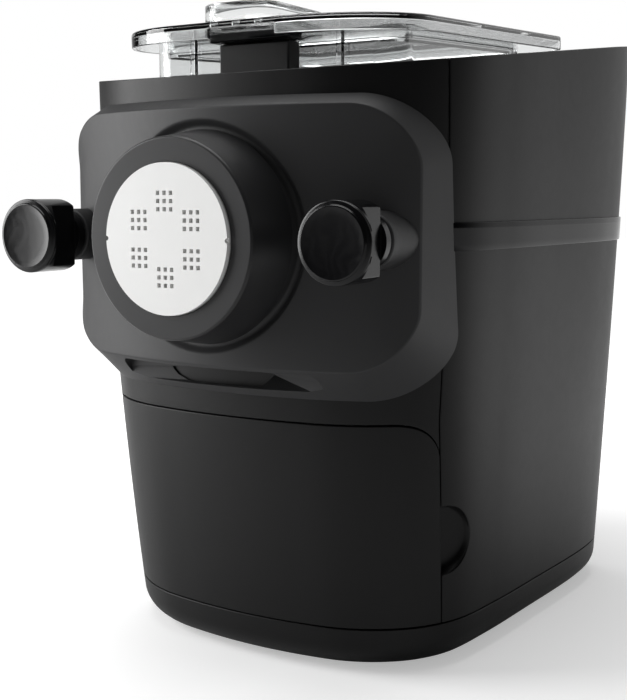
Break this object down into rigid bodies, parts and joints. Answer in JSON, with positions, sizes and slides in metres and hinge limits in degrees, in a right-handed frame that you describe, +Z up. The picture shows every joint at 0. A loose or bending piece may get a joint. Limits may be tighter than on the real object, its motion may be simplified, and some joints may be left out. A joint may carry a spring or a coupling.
{
  "type": "electric pasta maker",
  "caption": "Household electric pasta maker: clear mixing chamber and lid, screw-fed front module with shaping disc and ring nut, two clamping knobs, disc drawer below.",
  "frame": {"origin": "on the table, under the middle of the overall depth and width", "axes": "+Z up, the shaping disc faces -Y, +X is the right side seen from the front"},
  "size_m": [0.242, 0.3043, 0.321],
  "materials": {
    "casing": "satin black moulded plastic",
    "module": "satin black moulded plastic, a little lighter",
    "gloss": "gloss black",
    "disc": "off-white, semi-matt",
    "rubber": "black rubber",
    "clear": "clear moulded plastic, polished",
    "window": "smoky display window",
    "frame": "grey moulded plastic",
    "gear": "natural white acetal",
    "steel": "turned steel",
    "dark_steel": "zinc-grey sheet and castings",
    "brass": "brass",
    "copper": "lacquered copper windings, lumped",
    "board": "green circuit board"
  },
  "bodies": {
    "housing": {"base_tray": "casing", "front_housing": "casing", "rear_housing": "casing", "top_deck": "casing", "trim_band": "gloss", "chassis": "frame", "foot_front_left": "rubber", "foot_front_right": "rubber", "foot_rear_left": "rubber", "foot_rear_right": "rubber", "load_cell_front_left": "steel", "load_cell_front_right": "steel", "load_cell_rear_left": "steel", "load_cell_rear_right": "steel", "gearbox_case": "dark_steel", "gearbox_cover": "dark_steel", "output_bearing": "brass", "motor_can": "dark_steel", "motor_stator": "copper", "control_board": "board", "power_board": "board", "display_window": "window", "cord_gland": "rubber", "mixing_chamber": "clear", "shaft_seal": "rubber", "latch_tower": "casing", "clamp_nut_left": "brass", "clamp_nut_right": "brass", "drawer_runner_left": "frame", "drawer_runner_right": "frame"},
    "drive": {"drive_shaft": "steel", "output_gear": "gear", "mixing_paddle": "disc"},
    "slow_idler": {"slow_idler_gear": "gear"},
    "fast_idler": {"fast_idler_gear": "gear"},
    "rotor": {"motor_rotor": "steel", "motor_pinion": "steel", "cooling_fan": "frame"},
    "lid": {"lid": "clear"},
    "latch": {"lid_latch": "gloss"},
    "drawer": {"drawer_front": "casing", "drawer_tray": "frame", "spare_disc_flat": "disc", "spare_disc_round": "disc"},
    "module": {"module_plate": "module", "extrusion_tube": "frame", "tube_seal": "rubber"},
    "die": {"shaping_disc": "disc"},
    "ring": {"ring_nut": "module"},
    "washer_left": {"clamp_washer_left": "steel"},
    "knob_left": {"knob_left": "gloss", "clamp_screw_left": "steel"},
    "washer_right": {"clamp_washer_right": "steel"},
    "knob_right": {"knob_right": "gloss", "clamp_screw_right": "steel"},
    "button_1": {"button_1": "gloss"},
    "button_2": {"button_2": "gloss"},
    "button_3": {"button_3": "gloss"},
    "rocker": {"mains_rocker": "gloss"}
  },
  "joints": [
    {"name": "drive_spin", "type": "hinge", "parent": "housing", "child": "drive", "pos_m": [0, 0.118, 0.21], "axis": [0, 1, 0], "continuous": true},
    {"name": "slow_idler_spin", "type": "hinge", "parent": "housing", "child": "slow_idler", "pos_m": [0.01196, 0.11, 0.15376], "axis": [0, 1, 0], "continuous": true},
    {"name": "fast_idler_spin", "type": "hinge", "parent": "housing", "child": "fast_idler", "pos_m": [-0.00173, 0.098, 0.11617], "axis": [0, 1, 0], "continuous": true},
    {"name": "rotor_spin", "type": "hinge", "parent": "housing", "child": "rotor", "pos_m": [0, 0.046, 0.08472], "axis": [0, 1, 0], "continuous": true},
    {"name": "lid_lift", "type": "slide", "parent": "housing", "child": "lid", "axis": [0, 0, 1], "range_m": [0, 0.06]},
    {"name": "latch_slide", "type": "slide", "parent": "housing", "child": "latch", "axis": [0, -1, 0], "range_m": [0, 0.0025], "stiffness_N_per_m": 300},
    {"name": "drawer_slide", "type": "slide", "parent": "housing", "child": "drawer", "axis": [0, -1, 0], "range_m": [0, 0.105]},
    {"name": "module_pull", "type": "slide", "parent": "housing", "child": "module", "axis": [0, -1, 0], "range_m": [0, 0.08]},
    {"name": "die_lift", "type": "slide", "parent": "module", "child": "die", "axis": [0, -1, 0], "range_m": [0, 0.0061]},
    {"name": "ring_turn", "type": "hinge", "parent": "die", "child": "ring", "pos_m": [0, -0.137, 0.21], "axis": [0, -1, 0], "range_deg": [0, 540]},
    {"name": "washer_left_lift", "type": "slide", "parent": "module", "child": "washer_left", "axis": [0, -1, 0], "range_m": [0, 0.006]},
    {"name": "knob_left_turn", "type": "hinge", "parent": "washer_left", "child": "knob_left", "pos_m": [-0.0845, -0.137, 0.21], "axis": [0, -1, 0], "range_deg": [0, 721]},
    {"name": "washer_right_lift", "type": "slide", "parent": "module", "child": "washer_right", "axis": [0, -1, 0], "range_m": [0, 0.006]},
    {"name": "knob_right_turn", "type": "hinge", "parent": "washer_right", "child": "knob_right", "pos_m": [0.0845, -0.137, 0.21], "axis": [0, -1, 0], "range_deg": [0, 721]},
    {"name": "button_1_press", "type": "slide", "parent": "housing", "child": "button_1", "axis": [0, 0.1226, -0.9925], "range_m": [0, 0.0009], "stiffness_N_per_m": 1200},
    {"name": "button_2_press", "type": "slide", "parent": "housing", "child": "button_2", "axis": [0, 0.1226, -0.9925], "range_m": [0, 0.0009], "stiffness_N_per_m": 1200},
    {"name": "button_3_press", "type": "slide", "parent": "housing", "child": "button_3", "axis": [0, 0.1226, -0.9925], "range_m": [0, 0.0009], "stiffness_N_per_m": 1200},
    {"name": "rocker_tilt", "type": "hinge", "parent": "housing", "child": "rocker", "pos_m": [-0.062, 0.147, 0.048], "axis": [1, 0, 0], "range_deg": [-10, 10]}
  ],
  "couplings": [
    {"joint": "slow_idler_spin", "follows": "drive_spin", "ratio": -2.8333},
    {"joint": "fast_idler_spin", "follows": "drive_spin", "ratio": 6.6111},
    {"joint": "rotor_spin", "follows": "drive_spin", "ratio": -16.528},
    {"joint": "die_lift", "follows": "ring_turn", "m_per_rad": 0.00063662},
    {"joint": "knob_left_turn", "follows": "washer_left_lift", "rad_per_m": 2094.4},
    {"joint": "knob_right_turn", "follows": "washer_right_lift", "rad_per_m": 2094.4}
  ]
}
